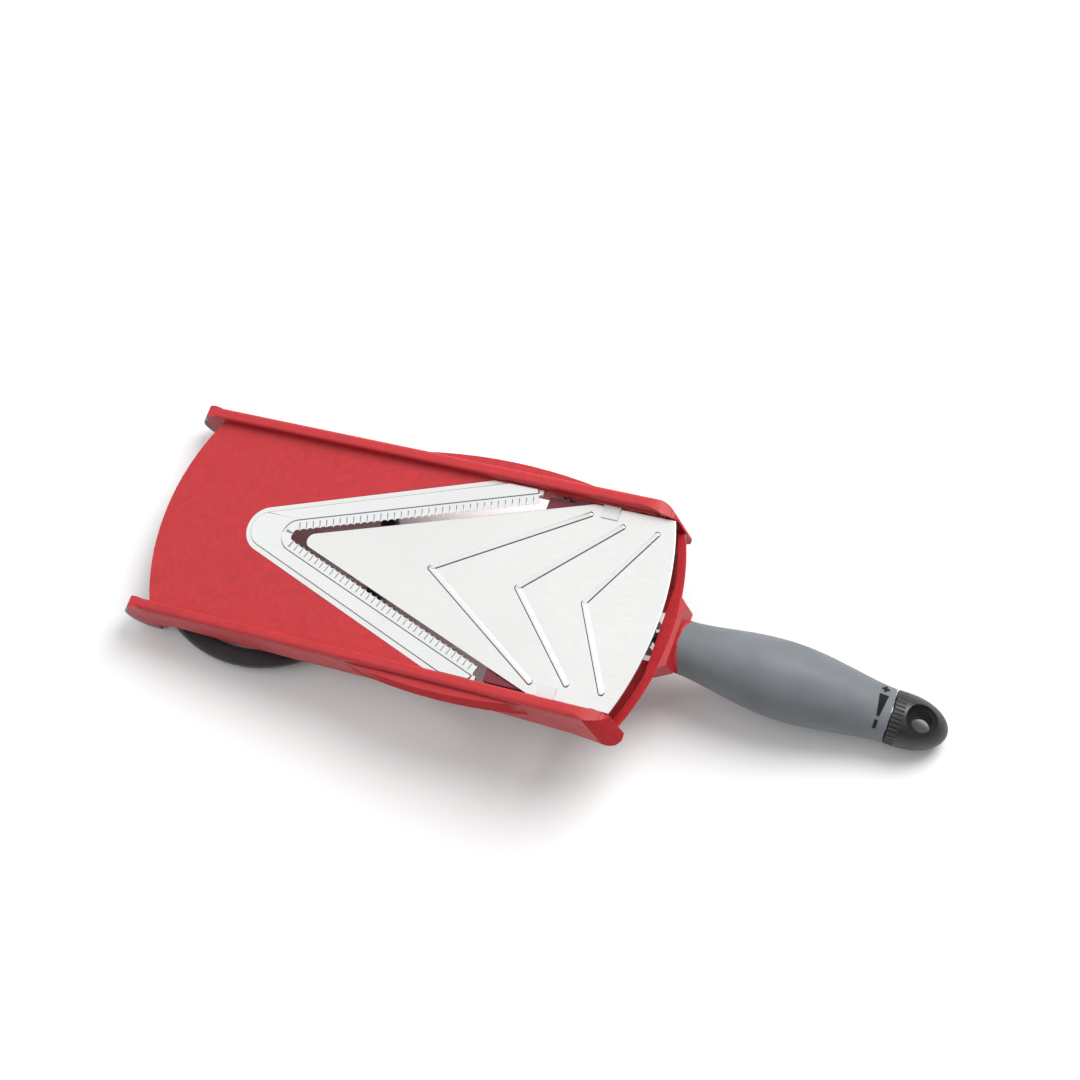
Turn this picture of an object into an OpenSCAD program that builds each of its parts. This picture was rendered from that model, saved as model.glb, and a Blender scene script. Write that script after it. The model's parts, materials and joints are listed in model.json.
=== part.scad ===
// V-blade mandoline slicer with a long handle, an adjustable run-up plate and a folding ring stand.
// The parts are drawn in the deck frame: X runs along the centreline towards the handle, Z is the
// deck's normal, and z = 0 is the deck's top face. stand() then sets the slicer on its nose pads
// and on the tip of its handle.

/* [Body] */
// Width over the two side rails
body_w = 114; // [113:0.5:116]
// Thickness of the deck panel
deck_t = 3.2; // [3:0.1:4]
// Height of the rails above the deck
rail_h = 5; // [3.5:0.5:7]
// Width of one rail
rail_w = 5.8; // [5.4:0.1:6.2]
// Thickness of the side and rear walls
wall_t = 3.6; // [3.4:0.1:3.8]
// Depth of the outward swelling halfway along each side wall
cheek_out = 4; // [1:0.5:6]

/* [Blade] */
// Thickness of the knife sheet
knife_t = 0.8; // [0.6:0.1:1.2]
// Distance between neighbouring teeth
tooth_pitch = 3.6; // [3:0.1:6]
// Depth of the scallops between the teeth
tooth_depth = 1.2; // [0.8:0.1:1.5]

/* [Run-up plate] */
// Slice thickness that the plate is set to
slice_t = 1.5; // [1.5:0.1:2]
// Thickness of the plate's sheet
plate_t = 1; // [0.8:0.1:1.2]
// Height of the pressed V ridges
ridge_h = 0.5; // [0.3:0.1:0.6]

/* [Handle] */
// Slope of the handle below the deck
handle_slope = 18.3; // [17:0.1:19]
// Length of the soft grip
grip_len = 101; // [98:1:104]
// Radius of the grip at its ends
grip_end_r = 13.1; // [12.8:0.1:13.4]
// Radius of the grip at its middle
grip_mid_r = 19; // [17:0.5:20]
// Radius of the hanging hole in the end knob
hang_r = 5; // [4:0.5:5.5]

/* [Stand] */
// Outer radius of the stand ring
ring_r = 65; // [63:0.1:65.2]
// Width of the stand ring's band
ring_w = 9; // [8:0.5:10]
// Angle at which the folded ring hangs below the deck's plane
ring_droop = 5.5; // [5.5:0.5:8]

/* [Hidden] */
$fn = 64;
eps = 0.01;
big = 400;

// Body outline
half_w = body_w / 2;
rail_in = half_w - rail_w;
wall_in = half_w - wall_t;
nose_arc_r = 114;
nose_arc_x = -87.6;
rail_start_x = -193;
rail_round_x = 48;
bead_round = 2.3;
inner_round = 1.4;
rear_r = 130;
rear_x = 75.4;
rear_centre_x = rear_x - rear_r;
corner_r = 12;
corner_y = half_w - corner_r;
corner_x = rear_centre_x + sqrt(pow(rear_r - corner_r, 2) - pow(corner_y, 2));
corner_a = atan2(corner_y, corner_x - rear_centre_x);
wall_low = -34;
channel_z = -30;
channel_t = 3;
channel_x = 48;
window_half = 13;
window_end = 71.5;
// The rear wall is low, so that the plate can drop over it, and leans inwards below its rim
rim_top = -16.4;
rim_low = -18.6;
rim_lean = 9;
corner_wall_y = 50.4;
cheek_x = -25;
cheek_half = 48;
cheek_r = (pow(cheek_half, 2) + pow(cheek_out, 2)) / (2 * cheek_out);

// Nose lobes and their pads
lobe_x = -193.5;
lobe_z = -11;
lobe_r = 11;
pad_x = -194.5;
pad_z = -12.5;
pad_r = 12.4;
rail_end_x = -195;

// V shapes: each is a pair of lines that meet at an apex, with a round tip
carrier_apex = -178.5;
carrier_angle = 19.03;
carrier_tip_r = 12.3;
carrier_t = 1.6;
knife_inset = 2.6;
knife_apex = -131.5;
knife_angle = 18.6;
knife_tip_r = 2.5;
ledge_w = 7;
carrier_w = 11;
blade_end_x = -5;
blade_side = 50.5;
blade_gap = 0.15;

// Run-up plate
plate_apex = -127.7;
plate_angle = 18.4;
plate_tip_r = 4;
plate_side = 49.8;
plate_rear_r = 147;
plate_rear_x = 73;
plate_top = -slice_t;
plate_low = plate_top - plate_t;
skirt_h = 3;
fold_end_x = 18;
ridge_w = 3.2;
// Each ridge: apex x, half angle, half width over its ends
ridges = [[-50.5, 32, 44], [-3, 45, 41], [32.5, 60, 41]];

// Carriage and its guides
side_in = 44.5;
side_out = 48.8;
carriage_low = -9.3;
carriage_x0 = -2;
carriage_x1 = 58;
guide_z = -6.5;
guide_xs = [6, 46];
guide_r = 1.45;
slot_r = 1.55;
slide_angle = 45;
slide_up = 1.9;
slide_down = 9.6;
block_y = 50.8;
fork_in = 5.4;
fork_t = 3;
fork_x = 55;
fork_w = 7;
clip_t = 0.5;

// Handle axis: s runs along it from the joint of neck and grip
neck_x = 77.3;
neck_z = -35.1;
grip_cut_r = 23;
grip_cut_s = 19;
core_r = 8.5;
core_bore_r = 6;
core_end = grip_len - 5;
shaft_r = 3;
shaft_fit = 0.05;
shaft_start = -28;
shaft_end = grip_len + 8;
nut_s = -19.8;
nut_len = 7;
nut_r = 4.8;
clip_s = -8.1;
drag_r = 1.2;
trunnion_r = 1.5;
knob_s = grip_len + 0.6;
knob_r = 13.2;
knob_band = 6;
knob_nose = 22;
hole_s = grip_len + 15.4;
dish_r = 8.2;
dish_z = 13.2;
flutes = 36;
pin_s = grip_len + 4.5;
knob_pin_r = 1.25;

// Stand
ring_x = -148;
ring_top = -22.9;
ring_t = 4.2;
ring_in = ring_r - ring_w;
hinge_x = -203.5;
hinge_z = -15;
hinge_half = 14;
barrel_r = 3.8;
stand_pin_r = 1.5;
lug_t = 5;
tread_t = 0.7;

// Resting pose: the slicer stands on its nose pads and on the handle's tip
knob_centre_s = knob_s + knob_band;
knob_reach = 13.1;
tip_x = neck_x + cos(handle_slope) * knob_centre_s;
tip_z = neck_z - sin(handle_slope) * knob_centre_s;
rest_tilt = atan2(pad_z - tip_z, tip_x - pad_x) + asin((knob_reach - pad_r) / (tip_x - pad_x));
rest_lift = pad_r - (pad_x * sin(rest_tilt) + pad_z * cos(rest_tilt));
rest_shift = -0.95;

red = [0.78, 0.1, 0.11];
dark_red = [0.45, 0.1, 0.13];
steel = [0.86, 0.86, 0.85];
grey = [0.47, 0.5, 0.51];
light_grey = [0.72, 0.75, 0.78];
dark_grey = [0.2, 0.2, 0.22];
black = [0.13, 0.13, 0.14];

// ---- Placing ----

// Takes the deck frame to the frame of the slicer at rest on a table
module stand() {
  translate([rest_shift, 0, rest_lift])
    rotate([0, -rest_tilt, 0])
      children();
}

// Puts a shape drawn along +Z on the handle's axis, with its z = 0 at distance s
module on_axis(s = 0) {
  translate([neck_x, 0, neck_z])
    rotate([0, 90 + handle_slope, 0])
      translate([0, 0, s])
        children();
}

module both_sides() {
  children();
  mirror([0, 1, 0]) children();
}

// A rod along Y from y0 to y1
module rod_y(x, z, r, y0, y1) {
  translate([x, y0, z])
    rotate([-90, 0, 0])
      cylinder(h = y1 - y0, r = r);
}

// A slab cut from an outline in the XZ plane, from y0 to y1
module slab_xz(y0, y1) {
  translate([0, y1, 0])
    rotate([90, 0, 0])
      linear_extrude(y1 - y0)
        children();
}

// ---- Outlines ----

// Everything to the right of a V with a round tip, as far as x1
module v_region(apex, angle, tip_r, x1) {
  centre = apex + tip_r / sin(angle);
  tangent_x = centre - tip_r * sin(angle);
  tangent_y = tip_r * cos(angle);
  end_y = (x1 - apex) * tan(angle);
  translate([centre, 0])
    circle(tip_r);
  polygon([[tangent_x, tangent_y], [x1, end_y], [x1, -end_y], [tangent_x, -tangent_y]]);
}

// Apex of the V that lies a distance d inside another
function inner_apex(apex, angle, d) = apex + d / sin(angle);

// Plan of the body, moved inwards by d, with round rear corners and a curved rear
module footprint(d) {
  r = rear_r - d;
  reach = 150;
  translate([rail_start_x, -(half_w - d)])
    square([corner_x - rail_start_x, 2 * (half_w - d)]);
  for (side = [-1, 1])
    translate([corner_x, side * corner_y])
      circle(corner_r - d);
  intersection() {
    translate([rear_centre_x, 0])
      circle(r, $fn = 256);
    translate([rear_centre_x, 0])
      polygon([[0, 0], [reach, reach * tan(corner_a)], [reach, -reach * tan(corner_a)]]);
  }
}

module carrier_region(d) {
  v_region(inner_apex(carrier_apex, carrier_angle, d), carrier_angle,
           max(carrier_tip_r - d, 1.5), 80);
}

// ---- Body ----

// Height of the rail's top, which rounds down to the rear
function rail_top(x) =
  x < rail_round_x ? rail_h
  : rail_h - 17 * (1 - sqrt(max(0, 1 - pow((x - rail_round_x) / 20.5, 2))));

// Side view of the side walls: deep at the rear, with a rounded end
module wall_side_view() {
  polygon(concat([[rail_start_x, 0], [rail_start_x, -13], [-186, -15], [-178, -14], [-110, -17],
                  [-55, -18], [0, -20.5], [40, -25], [50, -29], [57, -32.5], [60.5, -33],
                  [63.5, -31], [66, -25], [68, -18]],
                 [for (x = [68 : -1 : rail_round_x]) [x, min(0, rail_top(x))]]));
}

module side_walls() {
  intersection() {
    translate([0, 0, wall_low])
      linear_extrude(big)
        difference() {
          footprint(0);
          footprint(wall_t);
          translate([-300, -corner_wall_y])
            square([big, 2 * corner_wall_y]);
        }
    slab_xz(-half_w, half_w)
      wall_side_view();
  }
}

// Rear wall: an arc in plan, upright at its rim and leaning inwards below it
module rear_wall() {
  reach = 200;
  intersection() {
    translate([rear_centre_x, 0, 0])
      rotate_extrude($fn = 256)
        polygon([[rear_r - 0.6, rim_top], [rear_r - 0.6, rim_low],
                 [rear_r - rim_lean, channel_z], [rear_r - rim_lean - wall_t, channel_z],
                 [rear_r - 0.6 - wall_t, rim_low], [rear_r - 0.6 - wall_t, rim_top]]);
    translate([0, -corner_wall_y - 1, wall_low])
      cube([reach, 2 * corner_wall_y + 2, big]);
  }
}

// Section of a rail, with x measured outwards from the centre of the rear corner's curve
module rail_profile() {
  inner = corner_r - rail_w;
  groove = 0.45;
  polygon(concat([[inner, -0.1]],
                 [for (a = [180 : -10 : 90])
                    [inner + inner_round * (1 + cos(a)), rail_h - inner_round * (1 - sin(a))]],
                 [for (a = [90 : -10 : 0])
                    [corner_r - bead_round * (1 - cos(a)), rail_h - bead_round * (1 - sin(a))]],
                 [[corner_r, 2.4], [corner_r - groove, 2.3], [corner_r - groove, 1.9],
                  [corner_r, 1.8], [corner_r, -0.1]]));
}

// Rails on top of the walls, sloping down at the rear corners
module rails() {
  intersection() {
    both_sides()
      difference() {
        translate([0, corner_y, 0]) {
          translate([rail_end_x, 0, 0])
            rotate([90, 0, 90])
              linear_extrude(corner_x - rail_end_x)
                rail_profile();
          translate([corner_x, 0, 0])
            rotate_extrude(angle = 90)
              rail_profile();
        }
        translate([-300, 0, -1])
          cube([big, corner_wall_y, 20]);
      }
    slab_xz(-half_w, half_w)
      polygon(concat([[rail_end_x, -0.1], [rail_end_x, rail_h + 1], [rail_round_x - 1, rail_h + 1]],
                     [for (x = [rail_round_x : 62]) [x, rail_top(x)]],
                     [[62, -0.1]]));
  }
}

module cheeks() {
  both_sides()
    translate([0, 0, -11])
      linear_extrude(13)
        intersection() {
          translate([cheek_x, half_w + cheek_out - cheek_r])
            circle(cheek_r, $fn = 256);
          translate([cheek_x - cheek_half, half_w - 1])
            square([2 * cheek_half, cheek_out + 2]);
        }
}

module nose_lobes() {
  both_sides() {
    difference() {
      rod_y(lobe_x, lobe_z, lobe_r, rail_in, half_w);
      // Clear of the folded stand ring
      translate([-190.5, rail_in - 1, -30])
        cube([20, rail_w + 2, 12.2]);
    }
    rod_y(rail_end_x, 0, rail_h, rail_in, half_w);
    translate([rail_end_x, rail_in, -8])
      cube([30, rail_w, 8]);
    translate([rail_end_x - 5, rail_in, -8])
      cube([6, rail_w, 8]);
  }
}

module deck_panel() {
  translate([0, 0, -deck_t])
    linear_extrude(deck_t)
      intersection() {
        union() {
          footprint(wall_t / 2);
          translate([-210, -rail_in - 1])
            square([20, 2 * (rail_in + 1)]);
        }
        translate([nose_arc_x, 0])
          union() {
            circle(nose_arc_r, $fn = 256);
            translate([0, -half_w])
              square([big, body_w]);
          }
        translate([-300, -big / 2])
          square([300 + corner_x, big]);
      }
}

// Cross ribs under the deck, ahead of the blade
module deck_ribs() {
  for (x = [-176, -160])
    translate([x, -wall_in, -8])
      cube([2.4, 2 * wall_in, 8 - deck_t + eps]);
}

// Floor of the trough under the plate, which ties the side walls together at the rear
module rear_channel() {
  intersection() {
    translate([0, 0, channel_z])
      linear_extrude(channel_t)
        union() {
          intersection() {
            footprint(wall_t / 2);
            square([2 * corner_x, big], center = true);
          }
          intersection() {
            footprint(rim_lean + 1);
            translate([0, -corner_wall_y])
              square([big, 2 * corner_wall_y]);
          }
        }
    translate([channel_x, -half_w, channel_z])
      cube([60, body_w, channel_t]);
  }
}

// Flared gusset between the rear wall and the handle's collar
module neck() {
  hull() {
    translate([69, -21, -25])
      cube([2, 42, 25 + rim_top]);
    translate([72, -15.5, -30])
      cube([5, 31, 12]);
  }
  on_axis(-9)
    cylinder(h = 11, r = grip_end_r);
  on_axis(-3)
    cylinder(h = core_end + 3, r = core_r);
}

// Blocks on the inner faces of the walls, which hold the slots of the plate's guides
module guide_blocks() {
  both_sides()
    for (x = guide_xs)
      translate([x - 7, block_y, -18])
        cube([20, wall_in - block_y + 1, 17.5]);
}

module guide_slot(x) {
  y0 = 50;
  y1 = 53;
  dx = cos(slide_angle);
  dz = -sin(slide_angle);
  rod_y(x - dx * slide_up, guide_z - dz * slide_up, slot_r, y0, y1);
  rod_y(x + dx * slide_down, guide_z + dz * slide_down, slot_r, y0, y1);
  translate([x, y0, guide_z])
    rotate([0, slide_angle, 0])
      translate([-slide_up, 0, -slot_r])
        cube([slide_up + slide_down, y1 - y0, 2 * slot_r]);
}

module stand_lugs() {
  both_sides()
    slab_xz(hinge_half + 0.4, hinge_half + 0.4 + lug_t)
      union() {
        polygon([[-184, -deck_t + 0.2], [-199.4, -deck_t + 0.2], [-207, -13.6], [-200.4, -17.2]]);
        translate([hinge_x, hinge_z])
          circle(barrel_r);
      }
}

// Round bosses under the deck's ledge that take the blade screws
module screw_sites() {
  for (p = [[-149.6, 0], [-88, 1], [-88, -1], [-40, 1], [-40, -1]])
    translate([p[0], p[1] * ((p[0] - carrier_apex) * tan(carrier_angle) - 4.2), 0])
      children();
}

module body_frame() {
  color(red)
    stand()
      difference() {
        union() {
          deck_panel();
          deck_ribs();
          side_walls();
          rear_wall();
          rails();
          cheeks();
          nose_lobes();
          rear_channel();
          neck();
          guide_blocks();
          stand_lugs();
        }
        // Opening under the blade and the plate
        translate([0, 0, -deck_t - 1])
          linear_extrude(deck_t + 2)
            intersection() {
              carrier_region(ledge_w);
              translate([-300, -50.4])
                square([370, 100.8]);
            }
        // Seat of the blade carrier
        translate([0, 0, -carrier_t])
          linear_extrude(carrier_t + 1)
            intersection() {
              carrier_region(-blade_gap);
              translate([-300, -blade_side - blade_gap])
                square([300 + blade_end_x + 1, 2 * (blade_side + blade_gap)]);
            }
        // Window in the rear channel, round the fork
        translate([49, -window_half, channel_z - 20])
          cube([window_end - 49, 2 * window_half, rim_low - channel_z + 20]);
        both_sides()
          for (x = guide_xs)
            guide_slot(x);
        // Curved end of the neck, which the grip fits into
        on_axis(grip_cut_s)
          difference() {
            rotate([0, 90, 0])
              cylinder(h = 60, r = grip_cut_r, center = true);
            translate([0, 0, -grip_cut_s - 20])
              cylinder(h = 80, r = core_r);
          }
        on_axis(-14)
          cylinder(h = big, r = core_bore_r);
        both_sides()
          rod_y(hinge_x, hinge_z, stand_pin_r, 0, hinge_half + lug_t + 2);
        screw_sites()
          translate([0, 0, -deck_t - 1])
            cylinder(h = 4, r = 1.1);
      }
}

module nose_pads() {
  color(grey)
    stand()
      both_sides()
        difference() {
          rod_y(pad_x, pad_z, pad_r, rail_in, half_w);
          rod_y(lobe_x, lobe_z, lobe_r, rail_in - 1, half_w + 1);
          translate([-240, rail_in - 1, -5])
            cube([100, half_w, 30]);
          translate([-192, rail_in - 1, -40])
            cube([40, half_w, 60]);
        }
}

// ---- Blade ----

module blade_carrier() {
  color(steel)
    stand()
      difference() {
        translate([0, 0, -carrier_t])
          linear_extrude(carrier_t)
            intersection() {
              difference() {
                carrier_region(0);
                carrier_region(carrier_w);
              }
              translate([-300, -blade_side])
                square([300 + blade_end_x, 2 * blade_side]);
            }
        screw_sites()
          translate([0, 0, -carrier_t - 1])
            cylinder(h = carrier_t + 2, r = 1.1);
      }
}

// Scallops along one cutting edge
module scallops() {
  slope_len = 118;
  for (i = [0 : floor(slope_len / tooth_pitch)])
    translate([knife_apex + cos(knife_angle) * (i * tooth_pitch + 9),
               sin(knife_angle) * (i * tooth_pitch + 9)])
      circle(tooth_depth, $fn = 16);
}

module v_blade() {
  color(steel)
    stand()
      linear_extrude(knife_t)
        intersection() {
          difference() {
            carrier_region(knife_inset);
            v_region(knife_apex, knife_angle, knife_tip_r, 80);
            scallops();
            mirror([0, 1]) scallops();
          }
          translate([-300, -blade_side])
            square([300 + blade_end_x, 2 * blade_side]);
        }
}

module blade_screws() {
  color(steel)
    stand()
      screw_sites() {
        translate([0, 0, -deck_t])
          cylinder(h = deck_t - 0.2, r = 1.1);
        translate([0, 0, -deck_t - 1.4])
          cylinder(h = 1.4, r = 2.1);
      }
}

// ---- Run-up plate ----

module plate_outline(d) {
  intersection() {
    v_region(inner_apex(plate_apex, plate_angle, d), plate_angle, max(plate_tip_r - d, 1.5), 90);
    translate([plate_rear_x - plate_rear_r, 0])
      circle(plate_rear_r, $fn = 256);
    translate([-200, -plate_side + d])
      square([300, 2 * (plate_side - d)]);
  }
}

// One pressed V ridge, as two bars with round ends
module ridge(apex, angle, reach) {
  len = reach / sin(angle);
  both_sides()
    translate([apex + ridge_w / 2, 0])
      rotate([0, 0, angle]) {
        translate([0, -ridge_w / 2])
          square([len, ridge_w]);
        translate([len, 0])
          circle(ridge_w / 2, $fn = 24);
        circle(ridge_w / 2, $fn = 24);
      }
}

// Band along the plate's two front sides, which its folded edge fills
module fold_band(outer, inner) {
  intersection() {
    difference() {
      plate_outline(outer);
      plate_outline(inner);
    }
    translate([-200, -60])
      square([fold_end_x + 200, 120]);
  }
}

module ramp_plate() {
  color(steel)
    stand() {
      translate([0, 0, plate_low])
        linear_extrude(plate_t)
          plate_outline(0);
      // Folded edges on the two front sides
      translate([0, 0, plate_top - skirt_h])
        linear_extrude(skirt_h - plate_t + eps)
          fold_band(0, 1);
      translate([0, 0, plate_top - eps])
        linear_extrude(ridge_h + eps)
          for (v = ridges)
            ridge(v[0], v[1], v[2]);
    }
}

module fork_prong() {
  slot_low = -31.5;
  slot_high = -22.6;
  slot_half = trunnion_r + 0.1;
  pin_x = neck_x + cos(handle_slope) * nut_s;
  difference() {
    translate([fork_x, fork_in, -34])
      cube([fork_w, fork_t, 34 + carriage_low + 2]);
    rod_y(pin_x, slot_low + slot_half, slot_half, 0, 20);
    rod_y(pin_x, slot_high - slot_half, slot_half, 0, 20);
    translate([pin_x - slot_half, 0, slot_low + slot_half])
      cube([2 * slot_half, 20, slot_high - slot_low - 2 * slot_half]);
  }
}

module ramp_carriage() {
  height = plate_low - carriage_low;
  color(dark_red)
    stand()
      difference() {
        union() {
          both_sides() {
            translate([carriage_x0, side_in, carriage_low])
              cube([carriage_x1 + 4 - carriage_x0, side_out - side_in, height]);
            fork_prong();
          }
          for (x = [carriage_x0, carriage_x1 - 4])
            translate([x, -side_out, carriage_low])
              cube([6, 2 * side_out, height]);
          translate([fork_x, -fork_in - fork_t, carriage_low])
            cube([fork_w, 2 * (fork_in + fork_t), height]);
          // Spine under the pointed end of the plate
          translate([-104, -4, plate_low - 4])
            cube([104 + carriage_x0 + 1, 8, 4]);
        }
        both_sides()
          for (x = guide_xs)
            rod_y(x, guide_z, guide_r, side_in - 1, side_out + 1);
        // Groove that the plate's folded edge drops into
        translate([0, 0, plate_top - skirt_h - 0.05])
          linear_extrude(skirt_h)
            fold_band(-0.1, 1.1);
      }
}

// Clips that hook over the plate's long edges and hold it on the carriage
module plate_clips() {
  color(light_grey)
    stand()
      both_sides() {
        translate([27, 43.6, plate_top])
          cube([9, plate_side + clip_t - 43.6, 0.8]);
        translate([27, plate_side, -7])
          cube([9, clip_t, 7 + plate_top + 0.8]);
        translate([27, side_out, -7])
          cube([9, plate_side + clip_t - side_out, 7 + plate_low]);
      }
}

module guide_pins() {
  color(steel)
    stand()
      both_sides()
        for (x = guide_xs)
          rod_y(x, guide_z, guide_r, side_in, 52.7);
}

// ---- Adjuster ----

module drive_nut() {
  color(black)
    stand()
      on_axis(nut_s)
        difference() {
          union() {
            cylinder(h = nut_len, r = nut_r, center = true);
            rotate([90, 0, 0])
              cylinder(h = 2 * (fork_in + fork_t), r = trunnion_r, center = true);
          }
          cylinder(h = nut_len + 10, r = shaft_r + shaft_fit, center = true);
        }
}

module adjuster_shaft() {
  groove = 0.45;
  color(black)
    stand()
      difference() {
        on_axis(shaft_start)
          cylinder(h = shaft_end - shaft_start, r = shaft_r);
        // Thread, as close-set grooves
        for (i = [0 : 11])
          on_axis(shaft_start + 1.5 + 1.5 * i)
            difference() {
              cylinder(h = 0.75, r = shaft_r + 1);
              translate([0, 0, -1])
                cylinder(h = 3, r = shaft_r - groove);
            }
        // Groove of the retaining clip
        on_axis(clip_s)
          difference() {
            cylinder(h = 0.8, r = shaft_r + 1);
            translate([0, 0, -1])
              cylinder(h = 3, r = 2.4);
          }
        on_axis(pin_s)
          rotate([90, 0, 0])
            cylinder(h = 20, r = knob_pin_r, center = true);
      }
}

module retaining_clip() {
  color(steel)
    stand()
      on_axis(clip_s)
        difference() {
          cylinder(h = 0.8, r = 5.4);
          translate([0, 0, -1])
            cylinder(h = 3, r = 2.4);
          translate([0, -1.6, -1])
            cube([8, 3.2, 3]);
        }
}

module bush(s, len) {
  on_axis(s)
    difference() {
      cylinder(h = len, r = core_bore_r);
      translate([0, 0, -1])
        cylinder(h = len + 2, r = shaft_r + shaft_fit);
    }
}

module front_bush() {
  color(light_grey)
    stand()
      bush(-7.2, 12);
}

module rear_bush() {
  color(light_grey)
    stand()
      bush(core_end - 12, 12);
}

module thrust_washer() {
  color(steel)
    stand()
      on_axis(core_end + 2 * drag_r)
        difference() {
          cylinder(h = knob_s - 0.05 - core_end - 2 * drag_r, r = 7.6);
          translate([0, 0, -1])
            cylinder(h = 8, r = shaft_r + 0.1);
        }
}

module drag_ring() {
  color(black)
    stand()
      on_axis(core_end + drag_r)
        rotate_extrude()
          translate([shaft_r + 0.1 + drag_r, 0])
            circle(drag_r, $fn = 24);
}

// ---- Grip and knob ----

function grip_profile_r(s) =
  let (u = min(max(s / grip_len, 0), 1))
  grip_end_r + (grip_mid_r - grip_end_r) * pow(sin(180 * pow(u, 0.97)), 1.5);

module grip_solid(extra) {
  steps = 26;
  span = grip_len + 8;
  rotate_extrude()
    polygon(concat([[0, -8]],
                   [for (i = [0 : steps])
                      let (s = -8 + span * i / steps)
                      [grip_profile_r(s) + extra, s]],
                   [[0, grip_len]]));
}

module grip_sleeve() {
  color(grey)
    stand()
      difference() {
        intersection() {
          on_axis()
            grip_solid(0);
          union() {
            on_axis(grip_cut_s)
              rotate([0, 90, 0])
                cylinder(h = 60, r = grip_cut_r, center = true);
            on_axis(grip_cut_s)
              cylinder(h = grip_len, r = 40);
          }
        }
        on_axis(-20)
          cylinder(h = 20 + core_end, r = core_r);
        on_axis(core_end - 1)
          cylinder(h = 20, r = 8);
      }
}

// Plus, wedge and minus, which show the way to turn the knob
module thickness_marks() {
  wedge_low = 0.7;
  wedge_high = 2.3;
  color(black)
    stand()
      intersection() {
        difference() {
          on_axis()
            grip_solid(0.25);
          on_axis()
            grip_solid(0);
          on_axis(-30)
            cylinder(h = 40, r = 40);
        }
        on_axis(grip_len - 5.4)
          rotate([0, -90, 0])
            linear_extrude(40)
              union() {
                translate([-0.6, 7.1])
                  square([1.2, 3.6]);
                translate([-1.8, 8.3])
                  square([3.6, 1.2]);
                polygon([[-wedge_high, 5.4], [wedge_high, 5.4], [wedge_low, -5.4],
                         [-wedge_low, -5.4]]);
                translate([-0.8, -10.6])
                  square([1.6, 3.4]);
              }
      }
}

module end_knob() {
  nose_steps = 18;
  color(black)
    stand()
      difference() {
        on_axis(knob_s)
          difference() {
            rotate_extrude()
              polygon(concat([[0, 0], [knob_r - 0.6, 0], [knob_r, 0.6], [knob_r, knob_band]],
                             [for (i = [1 : nose_steps])
                                [knob_r * cos(90 * i / nose_steps),
                                 knob_band + knob_nose * sin(90 * i / nose_steps)]]));
            for (i = [0 : flutes - 1])
              rotate([0, 0, 360 * i / flutes])
                translate([knob_r + 0.15, 0, -1])
                  cylinder(h = knob_band, r = 0.6, $fn = 16);
          }
        // Hanging hole between two dishes
        on_axis(hole_s)
          rotate([0, 90, 0])
            cylinder(h = 60, r = hang_r, center = true);
        for (side = [-1, 1])
          on_axis(hole_s)
            translate([side * dish_z, 0, 0])
              sphere(dish_r);
        on_axis(0)
          cylinder(h = shaft_end, r = shaft_r);
        on_axis(pin_s)
          rotate([90, 0, 0])
            cylinder(h = 20, r = knob_pin_r, center = true);
      }
}

module knob_pin() {
  color(steel)
    stand()
      on_axis(pin_s)
        rotate([90, 0, 0])
          cylinder(h = 20, r = knob_pin_r, center = true);
}

// ---- Stand ----

// Puts a shape drawn flat about the ring's centre, with z = 0 on its top face, in its plane
module in_ring_plane() {
  translate([ring_x, 0, ring_top])
    rotate([0, ring_droop, 0])
      children();
}

module ring_section() {
  edge = 1.4;
  polygon([[ring_in, -ring_t], [ring_in, -edge], [ring_in + edge, 0], [ring_r - edge, 0],
           [ring_r, -edge], [ring_r, -ring_t]]);
}

module stand_ring() {
  color(dark_grey)
    stand()
      difference() {
        union() {
          difference() {
            in_ring_plane()
              rotate_extrude($fn = 128)
                ring_section();
            // Room for the body's two hinge lugs
            both_sides()
              rod_y(hinge_x, hinge_z, barrel_r + 0.7, hinge_half, hinge_half + lug_t + 0.9);
          }
          rod_y(hinge_x, hinge_z, barrel_r, -hinge_half, hinge_half);
          slab_xz(-hinge_half, hinge_half)
            polygon([[-211.5, -18], [-206.5, -13], [-200.5, -17], [-204.8, -21]]);
        }
        rod_y(hinge_x, hinge_z, stand_pin_r + shaft_fit, -30, 30);
      }
}

module stand_tread() {
  color(black)
    stand()
      in_ring_plane()
        translate([0, 0, -ring_t - tread_t])
          difference() {
            cylinder(h = tread_t, r = ring_r - 1.5, $fn = 128);
            translate([0, 0, -1])
              cylinder(h = tread_t + 2, r = ring_in + 1.5, $fn = 128);
          }
}

module stand_pin() {
  color(steel)
    stand()
      rod_y(hinge_x, hinge_z, stand_pin_r, -hinge_half - lug_t, hinge_half + lug_t);
}

body_frame();
nose_pads();
blade_carrier();
v_blade();
blade_screws();
ramp_plate();
ramp_carriage();
plate_clips();
guide_pins();
drive_nut();
adjuster_shaft();
retaining_clip();
front_bush();
rear_bush();
thrust_washer();
drag_ring();
grip_sleeve();
thickness_marks();
end_knob();
knob_pin();
stand_ring();
stand_pin();
stand_tread();
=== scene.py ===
"""Looks of the mandoline slicer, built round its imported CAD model.

Pieces are drawn in the deck's own frame, in millimetres. The camera, lights and floor are in metres.
"""

import json
import math

import bmesh
import bpy
from mathutils import Matrix, Vector
from mathutils.geometry import tessellate_polygon

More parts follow.
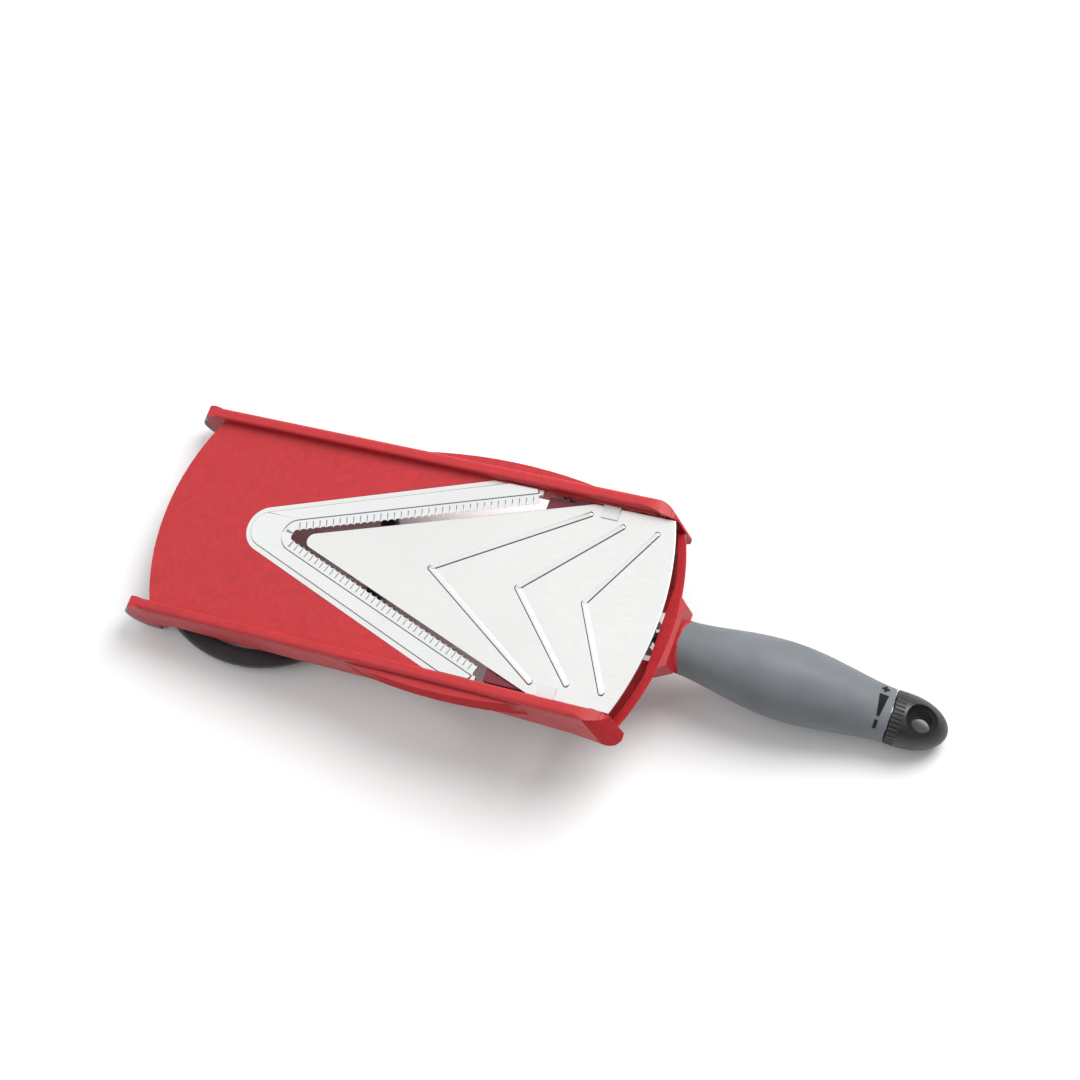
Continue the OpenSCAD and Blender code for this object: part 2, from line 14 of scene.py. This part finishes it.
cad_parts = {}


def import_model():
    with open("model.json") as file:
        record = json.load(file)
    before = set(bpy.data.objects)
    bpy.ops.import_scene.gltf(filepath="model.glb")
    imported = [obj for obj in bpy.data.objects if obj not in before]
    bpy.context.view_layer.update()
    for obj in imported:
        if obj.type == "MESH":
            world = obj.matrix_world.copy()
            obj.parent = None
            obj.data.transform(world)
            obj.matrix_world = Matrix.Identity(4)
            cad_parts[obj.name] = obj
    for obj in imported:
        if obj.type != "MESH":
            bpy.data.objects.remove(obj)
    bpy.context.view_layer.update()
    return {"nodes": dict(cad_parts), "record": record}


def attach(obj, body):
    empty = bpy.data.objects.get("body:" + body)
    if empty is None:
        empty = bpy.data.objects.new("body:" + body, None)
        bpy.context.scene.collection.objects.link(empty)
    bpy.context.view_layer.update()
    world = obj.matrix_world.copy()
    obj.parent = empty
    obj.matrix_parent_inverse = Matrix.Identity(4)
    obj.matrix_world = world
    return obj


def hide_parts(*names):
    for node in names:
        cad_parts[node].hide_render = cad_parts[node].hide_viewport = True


MM = 0.001

# The slicer rests on its nose pads and its knob, so the deck is tilted and lifted
DECK_TILT = math.radians(8.681744)
DECK_LIFT = 54.115744
DECK_SHIFT = -0.95

# Knife: an outer outline, a cutting edge, and a ground band behind that edge
KNIFE_OUTER_APEX = -170.5
KNIFE_OUTER_ANGLE = math.radians(19.03)
KNIFE_OUTER_TIP = 9.7
KNIFE_OUTER_END_X = -24.1
KNIFE_APEX = -131.5
KNIFE_ANGLE = math.radians(18.6)
KNIFE_TIP = 2.5
KNIFE_END_X = -5.0
KNIFE_REAR_X = KNIFE_END_X - 3
KNIFE_SIDE = 50.5
KNIFE_T = 0.8
KNIFE_CHAMFER = 0.36
KNIFE_PATH_STEP = 4
# A face whose normal leans less than this out of the flat counts as the knife's side, which gets painted
# shade
SIDE_NORMAL_Z = 0.5

# Ground band: the places across it run from 0 at the edge to 1 at the flat part
BAND_W = 6.0
BAND_PLACES = [0.0, 0.08, 0.18, 0.3, 0.45, 0.6, 0.75, 0.9, 0.96, 1.0]
BAND_DROP = 0.14
BAND_UNDERSIDE = 0.05
# The painted shade line at a cusp ends at this entry of BAND_PLACES
CUSP_LINE_END = 6

# Teeth: scallops in the edge, each with a hollow ground behind it, and cusps between them
TOOTH_PITCH = 3.6
TOOTH_DEPTH = 1.15
TOOTH_PATH_STEP = 0.3
TOOTH_TIP_STEPS = 22
HOLLOW_DEPTH = 0.5
HOLLOW_REACH = 4.6
HOLLOW_LEAST = 0.1
CUSP_SHARE = 0.12

# Run-up plate and the turned-down fold along its two front sides
PLATE_APEX = -127.7
PLATE_ANGLE = math.radians(18.4)
PLATE_TIP = 4.0
PLATE_SIDE = 49.8
PLATE_REAR_X = 73.0
PLATE_REAR_R = 147.0
PLATE_REAR_STEPS = 40
PLATE_PATH_STEP = 5
PLATE_MIDDLE_X = -20.0
PLATE_TOP = -1.5
PLATE_T = 1.0
FOLD_H = 3.0
FOLD_START = 0.5
FOLD_ROUND = 0.3
FOLD_END_X = 18.0
FOLD_PATH_STEP = 3

# Pressed ridges: x of each V's point, half angle in degrees, and reach to either side
RIDGES = [(-50.5, 32, 44), (-3, 45, 41), (32.5, 60, 41)]
RIDGE_W = 3.2
RIDGE_CREST = 0.47
RIDGE_CAP_STEPS = 14
# The rounded ends use this many points of the ridge's section, and the painted crease shade ends at the
# third
RIDGE_CAP_POINTS = 5
CREASE_END = 2

# Rounded edges, in millimetres, for the CAD nodes that show
BEVEL_DEGREES = 35
BEVELS = {
    "body_frame": 0.5,
    "blade_carrier": 0.12,
    "ramp_carriage": 0.3,
    "plate_clips": 0.2,
    "nose_pads": 0.5,
    "end_knob": 0.25,
    "stand_ring": 0.8,
    "retaining_clip": 0.1,
    "adjuster_shaft": 0.1,
}

# The part of a noise's range that carries a change of colour or roughness
NOISE_LOW = 0.3
NOISE_HIGH = 0.7

# Camera: high above the knob's side, leaning sideways
CAMERA_PLACE = (0.338109, -0.338400, 1.185155)
CAMERA_RIGHT = (0.92786, 0.33194, -0.16994)
CAMERA_FORWARD = (-0.27312088, 0.29462, -0.91574909)
CAMERA_LENS = 85.717
CAMERA_SENSOR = 36
CAMERA_NEAR = 0.05
CAMERA_FAR = 20

# Studio: a sky that brightens towards one direction, one soft light and a pale floor
SKY_BRIGHT_SIDE = (-0.53, 0.30, 0.79)
SKY_BRIGHT_FROM = 0.7
SKY_LEAST = 0.12
SKY_MOST = 0.98
KEY_PLACE = (0.55, 0.75, 1.15)
KEY_TARGET = (0, 0, 0.02)
KEY_SIZE = 1.0
KEY_POWER = 19
FLOOR_HALF = 3.0


def deck_matrix():
    """Places a piece drawn in the deck's own frame, in millimetres, in the shared frame, in metres."""
    tilt = Matrix.Rotation(-DECK_TILT, 4, "Y")
    lift = Matrix.Translation((DECK_SHIFT, 0, DECK_LIFT))
    return Matrix.Scale(MM, 4) @ lift @ tilt


# ---- Meshes ----


def face_outwards(mesh, open_sheet):
    """Turns faces the right way out: a closed piece's outwards, an open sheet's upwards."""
    work = bmesh.new()
    work.from_mesh(mesh)
    if open_sheet:
        for face in work.faces:
            if face.normal.z < 0:
                face.normal_flip()
    else:
        bmesh.ops.recalc_face_normals(work, faces=work.faces)
    work.to_mesh(mesh)
    work.free()


def mesh_piece(name, verts, faces, material, body, open_sheet=False):
    """A new piece from a mesh in the deck's frame, riding on a body."""
    mesh = bpy.data.meshes.new(name)
    mesh.from_pydata([tuple(v) for v in verts], [], faces)
    face_outwards(mesh, open_sheet)
    mesh.transform(deck_matrix())
    mesh.validate()
    mesh.update()
    if open_sheet:
        mesh.polygons.foreach_set("use_smooth", [True] * len(mesh.polygons))
    mesh.materials.append(material)
    piece = bpy.data.objects.new(name, mesh)
    bpy.context.scene.collection.objects.link(piece)
    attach(piece, body)
    return piece


def add_bevel(piece, width_mm, segments=2):
    """Rounds a piece's edges, which are first joined where the model splits them."""
    weld = piece.modifiers.new("join", "WELD")
    weld.merge_threshold = 1e-6
    bevel = piece.modifiers.new("round", "BEVEL")
    bevel.width = width_mm * MM
    bevel.segments = segments
    bevel.limit_method = "ANGLE"
    bevel.angle_limit = math.radians(BEVEL_DEGREES)
    bevel.miter_outer = "MITER_ARC"
    bevel.harden_normals = False


def slab(outline, low, high):
    """Vertices and faces of a flat slab between two heights, from one outline."""
    count = len(outline)
    verts = [(x, y, high) for x, y in outline]
    verts += [(x, y, low) for x, y in outline]
    triangles = tessellate_polygon([[Vector((x, y, 0)) for x, y in outline]])
    faces = []
    for a, b, c in triangles:
        faces.append((a, b, c))
        faces.append((c + count, b + count, a + count))
    for i in range(count):
        j = (i + 1) % count
        faces.append((i, i + count, j + count, j))
    return verts, faces


def strip(first, second, count):
    """Faces between two rows of vertices, each given by the number of its first vertex."""
    return [(first + k, first + k + 1, second + k + 1, second + k) for k in range(count - 1)]


def swept_faces(stations, row):
    """Faces of a closed section swept along a path, with a cap at each end."""
    faces = []
    for i in range(stations - 1):
        for k in range(row):
            a = i * row + k
            b = i * row + (k + 1) % row
            faces.append((a, b, b + row, a + row))
    for end in (0, stations - 1):
        faces.append(tuple(end * row + k for k in range(row)))
    return faces


def v_path(apex, angle, tip_r, end_x, step, tip_steps=24):
    """Points and outward normals along a V with a round tip, from the -Y end to the +Y end."""
    centre = apex + tip_r / math.sin(angle)
    tangent = Vector((centre - tip_r * math.sin(angle), tip_r * math.cos(angle)))
    along = Vector((math.cos(angle), math.sin(angle)))
    outward = Vector((-math.sin(angle), math.cos(angle)))
    arm = (end_x - tangent.x) / along.x
    count = max(2, round(arm / step))
    upper = [(tangent + along * (arm * i / count), outward) for i in range(count + 1)]
    lower = [(Vector((p.x, -p.y)), Vector((n.x, -n.y))) for p, n in reversed(upper)]
    half = math.pi / 2 - angle
    tip = []
    for i in range(1, tip_steps):
        turn = math.pi + half - 2 * half * i / tip_steps
        normal = Vector((math.cos(turn), math.sin(turn)))
        tip.append((Vector((centre, 0)) + normal * tip_r, normal))
    return lower + tip + upper


def knife_flat(material, shade_paint):
    """The knife's flat part, from its outer outline to the start of the ground band."""
    step = KNIFE_PATH_STEP
    outer_path = v_path(KNIFE_OUTER_APEX, KNIFE_OUTER_ANGLE, KNIFE_OUTER_TIP, KNIFE_OUTER_END_X, step)
    edge_path = v_path(KNIFE_APEX, KNIFE_ANGLE, KNIFE_TIP, KNIFE_END_X, step)
    outline = [point for point, normal in outer_path]
    outline.append(Vector((KNIFE_REAR_X, KNIFE_SIDE)))
    outline += [point + normal * BAND_W for point, normal in reversed(edge_path)]
    outline.append(Vector((KNIFE_REAR_X, -KNIFE_SIDE)))
    verts, faces = slab([(p.x, p.y) for p in outline], 0, KNIFE_T)
    piece = mesh_piece("knife_flat", verts, faces, material, "frame")
    # The knife's sides and rounded edges get a dark steel: painted shade
    piece.data.materials.append(shade_paint)
    for face in piece.data.polygons:
        if abs(face.normal.z) < SIDE_NORMAL_Z:
            face.material_index = 1
    add_bevel(piece, KNIFE_CHAMFER, 1)
    piece.modifiers["round"].material = 1
    return piece


def knife_teeth(material, shade_paint):
    """The ground band along the knife's edge, with painted shade at each cusp and at the step up to the
    flat part.
    """
    path = v_path(KNIFE_APEX, KNIFE_ANGLE, KNIFE_TIP, KNIFE_END_X, TOOTH_PATH_STEP, TOOTH_TIP_STEPS)
    verts = []
    cusps = []
    travelled = 0.0
    for i, (point, normal) in enumerate(path):
        if i:
            travelled += (point - path[i - 1][0]).length
        place = (travelled / TOOTH_PITCH) % 1.0
        arc = math.sqrt(max(0.0, 1 - (2 * place - 1) ** 2))
        edge = TOOTH_DEPTH * arc
        cusps.append(min(place, 1 - place) < CUSP_SHARE)
        for u in BAND_PLACES:
            w = edge + (BAND_W - edge) * u
            fade = max(0.0, 1 - w / HOLLOW_REACH)
            hollow = HOLLOW_DEPTH * fade * (HOLLOW_LEAST + (1 - HOLLOW_LEAST) * arc)
            drop = 0.0 if u == 1.0 else BAND_DROP
            spot = point + normal * w
            verts.append((spot.x, spot.y, KNIFE_T - drop - hollow))
        verts.append((*(point + normal * BAND_W), BAND_UNDERSIDE))
        verts.append((*(point + normal * edge), BAND_UNDERSIDE))
    row = len(BAND_PLACES) + 2
    faces = swept_faces(len(path), row)
    piece = mesh_piece("knife_teeth", verts, faces, material, "frame")
    piece.data.materials.append(shade_paint)
    # The faces along each cusp and at the step up get a dark steel: painted shade
    last_place = len(BAND_PLACES) - 1
    for face in piece.data.polygons:
        places = [v % row for v in face.vertices]
        at_cusp = all(cusps[v // row] for v in face.vertices)
        cusp_line = max(places) <= CUSP_LINE_END and at_cusp
        step_up = min(places) == last_place - 1 and max(places) == last_place
        if cusp_line or step_up:
            face.material_index = 1
    return piece


def plate_outline():
    """Plan of the run-up plate: a V with a round tip, straight sides and a curved rear."""
    side_x = PLATE_APEX + PLATE_SIDE / math.tan(PLATE_ANGLE)
    front = [p for p, n in v_path(PLATE_APEX, PLATE_ANGLE, PLATE_TIP, side_x, PLATE_PATH_STEP)]
    centre_x = PLATE_REAR_X - PLATE_REAR_R
    half = math.asin(PLATE_SIDE / PLATE_REAR_R)
    rear = []
    for i in range(PLATE_REAR_STEPS + 1):
        turn = half - 2 * half * i / PLATE_REAR_STEPS
        rear.append((centre_x + PLATE_REAR_R * math.cos(turn), PLATE_REAR_R * math.sin(turn)))
    return [(p.x, p.y) for p in front] + rear


def plate_flat(material):
    """The plate's sheet, with a rounded rim swept round its outline."""
    outline = plate_outline()
    middle = Vector((PLATE_MIDDLE_X, 0.0))
    # How far in from the outline, and how far below the top, each line of the rim runs
    rim = [(0.3, 0.0), (0.12, 0.05), (0.03, 0.14), (0.0, 0.3), (0.0, PLATE_T - 0.2), (0.15, PLATE_T)]
    verts = []
    for x, y in outline:
        inward = (middle - Vector((x, y))).normalized()
        for offset, drop in rim:
            spot = Vector((x, y)) + inward * offset
            verts.append((spot.x, spot.y, PLATE_TOP - drop))
    count = len(outline)
    wide = len(rim)
    faces = []
    for i in range(count):
        faces += strip(i * wide, (i + 1) % count * wide, wide)
    faces.append(tuple(i * wide for i in range(count)))
    faces.append(tuple(i * wide + wide - 1 for i in reversed(range(count))))
    return mesh_piece("plate_flat", verts, faces, material, "ramp")


def plate_fold(material):
    """The turned-down edge along the plate's two front sides."""
    path = v_path(PLATE_APEX, PLATE_ANGLE, PLATE_TIP, FOLD_END_X, FOLD_PATH_STEP)
    outside = [(0.0, -FOLD_START), (0.0, FOLD_ROUND - FOLD_H), (-FOLD_ROUND, -FOLD_H)]
    inside = [(-PLATE_T, -FOLD_H), (-PLATE_T, -FOLD_START)]
    section = outside + inside
    verts = []
    for point, normal in path:
        for offset, height in section:
            spot = point + normal * offset
            verts.append((spot.x, spot.y, PLATE_TOP + height))
    faces = swept_faces(len(path), len(section))
    return mesh_piece("plate_fold", verts, faces, material, "ramp")


def ridge_section():
    """Distance and height across a pressed ridge.

    A crease and a step lie on the -Y side, and a gentle fall on the other.
    """
    half = RIDGE_W / 2
    step = [(-half, -0.05), (-half + 0.02, 0.02), (-half + 0.42, 0.03), (-half + 0.5, 0.38)]
    crest = [(-half + 0.75, 0.48), (-half / 3, RIDGE_CREST)]
    fall = [(half / 3, 0.3), (half * 0.7, 0.12), (half, -0.03)]
    return step + crest + fall


def plate_ridge(index, apex, degrees, reach, material, crease):
    """One pressed V ridge with round ends and painted shade in its crease."""
    angle = math.radians(degrees)
    length = reach / math.sin(angle)
    start = Vector((apex + RIDGE_W / 2, 0))
    verts = []
    places = []
    faces = []

    def add_row(centre, across, section):
        """Adds a section's vertices and gives the number of the first."""
        first = len(verts)
        for place, (w, h) in enumerate(section):
            spot = centre + across * w
            verts.append((spot.x, spot.y, PLATE_TOP + h))
            places.append(place)
        return first

    arms = []
    for side in (-1, 1):
        direction = Vector((math.cos(angle), math.sin(angle) * side))
        arms.append((direction, Vector((-direction.y, direction.x))))

    profile = ridge_section()
    for direction, normal in arms:
        first = add_row(start, normal, profile)
        last = add_row(start + direction * length, normal, profile)
        faces += strip(first, last, len(profile))

    # Each end of an arm is closed by the section's first half, turned about the arm's middle
    cap = profile[:RIDGE_CAP_POINTS] + [(0.0, RIDGE_CREST)]
    for direction, normal in arms:
        for centre, forward in ((start + direction * length, direction), (start, -direction)):
            rows = []
            for t in range(RIDGE_CAP_STEPS + 1):
                turn = math.pi * t / RIDGE_CAP_STEPS
                across = normal * math.cos(turn) - forward * math.sin(turn)
                rows.append(add_row(centre, across, cap))
            for first, second in zip(rows, rows[1:]):
                faces += strip(first, second, len(cap))

    piece = mesh_piece(f"plate_ridge_{index}", verts, faces, material, "ramp", True)
    # Faces of the crease on the -Y side get a dark steel: painted shade
    piece.data.materials.append(crease)
    for face in piece.data.polygons:
        if max(places[v] for v in face.vertices) <= CREASE_END:
            face.material_index = 1
    return piece


# ---- Materials ----


def new_material(name, color, roughness, metallic=0.0, specular=0.5):
    """A material with one colour and one roughness, which the noises below then vary."""
    material = bpy.data.materials.new(name)
    material.use_nodes = True
    shader = material.node_tree.nodes["Principled BSDF"]
    shader.inputs["Base Color"].default_value = (*color, 1)
    shader.inputs["Roughness"].default_value = roughness
    shader.inputs["Metallic"].default_value = metallic
    shader.inputs["Specular IOR Level"].default_value = specular
    return material


def noise_node(material, scale, detail, stretch=(1, 1, 1), distortion=0.0):
    """Noise in object space; stretch below 1 draws it out along that axis."""
    nodes = material.node_tree.nodes
    links = material.node_tree.links
    coords = nodes.new("ShaderNodeTexCoord")
    mapping = nodes.new("ShaderNodeMapping")
    mapping.inputs["Scale"].default_value = stretch
    noise = nodes.new("ShaderNodeTexNoise")
    noise.inputs["Scale"].default_value = scale
    noise.inputs["Detail"].default_value = detail
    noise.inputs["Distortion"].default_value = distortion
    links.new(coords.outputs["Object"], mapping.inputs["Vector"])
    links.new(mapping.outputs["Vector"], noise.inputs["Vector"])
    return noise


def vary_color(material, noise, dark, light):
    """Colour between two shades, by a noise."""
    nodes = material.node_tree.nodes
    ramp = nodes.new("ShaderNodeValToRGB")
    ramp.color_ramp.elements[0].position = NOISE_LOW
    ramp.color_ramp.elements[0].color = (*dark, 1)
    ramp.color_ramp.elements[1].position = NOISE_HIGH
    ramp.color_ramp.elements[1].color = (*light, 1)
    links = material.node_tree.links
    links.new(noise.outputs["Fac"], ramp.inputs["Fac"])
    links.new(ramp.outputs["Color"], nodes["Principled BSDF"].inputs["Base Color"])


def vary_roughness(material, noise, low, high):
    """Roughness between two values, by a noise."""
    nodes = material.node_tree.nodes
    span = nodes.new("ShaderNodeMapRange")
    span.inputs["From Min"].default_value = NOISE_LOW
    span.inputs["From Max"].default_value = NOISE_HIGH
    span.inputs["To Min"].default_value = low
    span.inputs["To Max"].default_value = high
    links = material.node_tree.links
    links.new(noise.outputs["Fac"], span.inputs["Value"])
    links.new(span.outputs["Result"], nodes["Principled BSDF"].inputs["Roughness"])


def add_bump(material, noise, strength, depth_mm):
    """A bump from a noise, on top of any bump that the material already has."""
    nodes = material.node_tree.nodes
    links = material.node_tree.links
    normal = nodes["Principled BSDF"].inputs["Normal"]
    bump = nodes.new("ShaderNodeBump")
    bump.inputs["Strength"].default_value = strength
    bump.inputs["Distance"].default_value = depth_mm * MM
    links.new(noise.outputs["Fac"], bump.inputs["Height"])
    if normal.is_linked:
        links.new(normal.links[0].from_socket, bump.inputs["Normal"])
    links.new(bump.outputs["Normal"], normal)


def shades(color, spread):
    """A darker and a lighter shade of a colour."""
    dark = tuple(c * (1 - spread) for c in color)
    light = tuple(min(1.0, c * (1 + spread)) for c in color)
    return dark, light


def plastic(name, color, roughness, spread=0.08, swirl=False):
    """Moulded plastic: mottled colour, a fine grain and, if asked, faint swirling scratches."""
    material = new_material(name, color, roughness)
    mottle = noise_node(material, scale=170, detail=5, distortion=1.5)
    vary_color(material, mottle, *shades(color, spread))
    sheen = noise_node(material, scale=220, detail=5)
    vary_roughness(material, sheen, low=roughness - 0.04, high=roughness + 0.06)
    grain = noise_node(material, scale=900, detail=3)
    add_bump(material, grain, strength=0.35, depth_mm=0.05)
    if swirl:
        scratches = noise_node(material, scale=240, detail=2, distortion=6.0)
        add_bump(material, scratches, strength=0.3, depth_mm=0.06)
    return material


def rubber(name, color, roughness):
    """Soft rubber: matte, finely pitted, with worn lighter patches."""
    material = new_material(name, color, roughness, specular=0.35)
    patches = noise_node(material, scale=45, detail=6)
    vary_color(material, patches, *shades(color, spread=0.1))
    sheen = noise_node(material, scale=80, detail=4)
    vary_roughness(material, sheen, low=roughness - 0.08, high=roughness + 0.1)
    pits = noise_node(material, scale=1600, detail=2)
    add_bump(material, pits, strength=0.4, depth_mm=0.04)
    return material


def steel(name, color, roughness, stretch, grain=0.25):
    """Brushed steel: fine lines drawn out along one direction."""
    material = new_material(name, color, roughness, metallic=1.0)
    lines = noise_node(material, scale=1500, detail=3, stretch=stretch)
    clouds = noise_node(material, scale=18, detail=4)
    vary_color(material, clouds, *shades(color, spread=0.025))
    vary_roughness(material, lines, low=roughness - 0.07, high=roughness + 0.08)
    add_bump(material, lines, strength=grain, depth_mm=0.02)
    return material


def make_materials():
    """Every material by name: one for each of the record's slots, and a few more."""
    lengthwise = (0.03, 1, 1)
    crosswise = (1, 0.03, 1)
    return {
        "red_plastic": plastic("red_plastic", (0.47, 0.016, 0.022), 0.45, spread=0.1, swirl=True),
        "carriage_plastic": plastic("carriage_plastic", (0.16, 0.018, 0.035), 0.5),
        "clip_plastic": plastic("clip_plastic", (0.62, 0.63, 0.64), 0.4, spread=0.04),
        "black_plastic": plastic("black_plastic", (0.02, 0.02, 0.022), 0.4, spread=0.15),
        "ring_plastic": plastic("ring_plastic", (0.03, 0.03, 0.035), 0.42, spread=0.15),
        "bush_plastic": plastic("bush_plastic", (0.5, 0.5, 0.49), 0.5),
        "grey_grip": rubber("grey_grip", (0.155, 0.17, 0.185), 0.55),
        "grey_pad": rubber("grey_pad", (0.26, 0.28, 0.32), 0.6),
        "black_rubber": rubber("black_rubber", (0.02, 0.02, 0.022), 0.75),
        "mark_paint": rubber("mark_paint", (0.006, 0.006, 0.007), 0.8),
        "stainless": steel("stainless", (0.86, 0.86, 0.85), 0.34, lengthwise),
        "steel_pin": steel("steel_pin", (0.6, 0.6, 0.61), 0.35, lengthwise),
        "knife_steel": steel("knife_steel", (0.88, 0.89, 0.89), 0.22, crosswise, grain=0.02),
        # Painted shade: a dark steel for the knife's sides, edges, cusps and step
        "painted_shade_steel": steel("painted_shade_steel", (0.3, 0.3, 0.32), 0.45, lengthwise),
        # Painted shade for the ridges' creases
        "crease_shade_steel": steel("crease_shade_steel", (0.06, 0.06, 0.065), 0.5, lengthwise),
    }


# ---- Stage ----


def aim(thing, place, target):
    """Puts a light at a place and turns it to face a target."""
    thing.location = place
    direction = Vector(target) - Vector(place)
    thing.rotation_euler = direction.to_track_quat("-Z", "Y").to_euler()


def make_camera():
    """The picture's camera, from its place and its right and forward directions."""
    data = bpy.data.cameras.new("camera")
    data.sensor_width = CAMERA_SENSOR
    data.lens = CAMERA_LENS
    data.clip_start = CAMERA_NEAR
    data.clip_end = CAMERA_FAR
    camera = bpy.data.objects.new("camera", data)
    right = Vector(CAMERA_RIGHT).normalized()
    forward = Vector(CAMERA_FORWARD).normalized()
    up = right.cross(forward).normalized()
    turn = Matrix((right, up, -forward)).transposed().to_4x4()
    camera.matrix_world = Matrix.Translation(CAMERA_PLACE) @ turn
    bpy.context.scene.collection.objects.link(camera)
    bpy.context.scene.camera = camera


def soft_light(name, place, target, size, power):
    """A round area light."""
    data = bpy.data.lights.new(name, "AREA")
    data.shape = "DISK"
    data.size = size
    data.energy = power
    lamp = bpy.data.objects.new(name, data)
    bpy.context.scene.collection.objects.link(lamp)
    aim(lamp, place, target)


def make_sky():
    """A white sky whose strength rises from one side of the room to the other."""
    world = bpy.data.worlds.new("studio")
    world.use_nodes = True
    nodes = world.node_tree.nodes
    links = world.node_tree.links
    coords = nodes.new("ShaderNodeTexCoord")
    facing = nodes.new("ShaderNodeVectorMath")
    facing.operation = "DOT_PRODUCT"
    facing.inputs[1].default_value = SKY_BRIGHT_SIDE
    glow = nodes.new("ShaderNodeMapRange")
    glow.inputs["From Min"].default_value = 0.0
    glow.inputs["From Max"].default_value = SKY_BRIGHT_FROM
    glow.inputs["To Min"].default_value = SKY_LEAST
    glow.inputs["To Max"].default_value = SKY_MOST
    background = nodes["Background"]
    background.inputs["Color"].default_value = (1, 1, 1, 1)
    links.new(coords.outputs["Generated"], facing.inputs[0])
    links.new(facing.outputs["Value"], glow.inputs["Value"])
    links.new(glow.outputs["Result"], background.inputs["Strength"])
    bpy.context.scene.world = world


def make_floor():
    """A wide pale floor of paper."""
    half = FLOOR_HALF
    mesh = bpy.data.meshes.new("floor")
    corners = [(-half, -half, 0), (half, -half, 0), (half, half, 0), (-half, half, 0)]
    mesh.from_pydata(corners, [], [(0, 1, 2, 3)])
    paper = new_material("floor_paper", (0.93, 0.93, 0.93), 0.9, specular=0.1)
    fibres = noise_node(paper, scale=20, detail=2)
    vary_roughness(paper, fibres, low=0.85, high=0.95)
    mesh.materials.append(paper)
    floor = bpy.data.objects.new("floor", mesh)
    bpy.context.scene.collection.objects.link(floor)


def make_stage():
    """Sky, light and floor."""
    make_sky()
    bpy.context.scene.view_settings.view_transform = "Standard"
    soft_light("key", KEY_PLACE, KEY_TARGET, KEY_SIZE, KEY_POWER)
    make_floor()


# ---- Assembly ----


def main():
    """Dresses the CAD nodes and adds the new pieces."""
    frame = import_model()
    make_camera()
    make_stage()
    materials = make_materials()
    slots = {part["node"]: part["material_slot"] for part in frame["record"]["subparts"]}
    for node, piece in frame["nodes"].items():
        piece.data.materials.clear()
        piece.data.materials.append(materials[slots[node]])
        if node in BEVELS:
            add_bevel(piece, BEVELS[node])

    # The raised marks are painted darker than the black plastic of their slot
    frame["nodes"]["thickness_marks"].data.materials[0] = materials["mark_paint"]

    flat = knife_flat(materials["knife_steel"], materials["painted_shade_steel"])
    teeth = knife_teeth(materials["knife_steel"], materials["painted_shade_steel"])
    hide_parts("v_blade")
    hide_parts("v_blade")

    plate = plate_flat(materials["stainless"])
    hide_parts("ramp_plate")
    plate_fold(materials["stainless"])
    for index, (apex, degrees, reach) in enumerate(RIDGES):
        plate_ridge(index, apex, degrees, reach, materials["stainless"], materials["crease_shade_steel"])

    bpy.context.view_layer.update()


main()
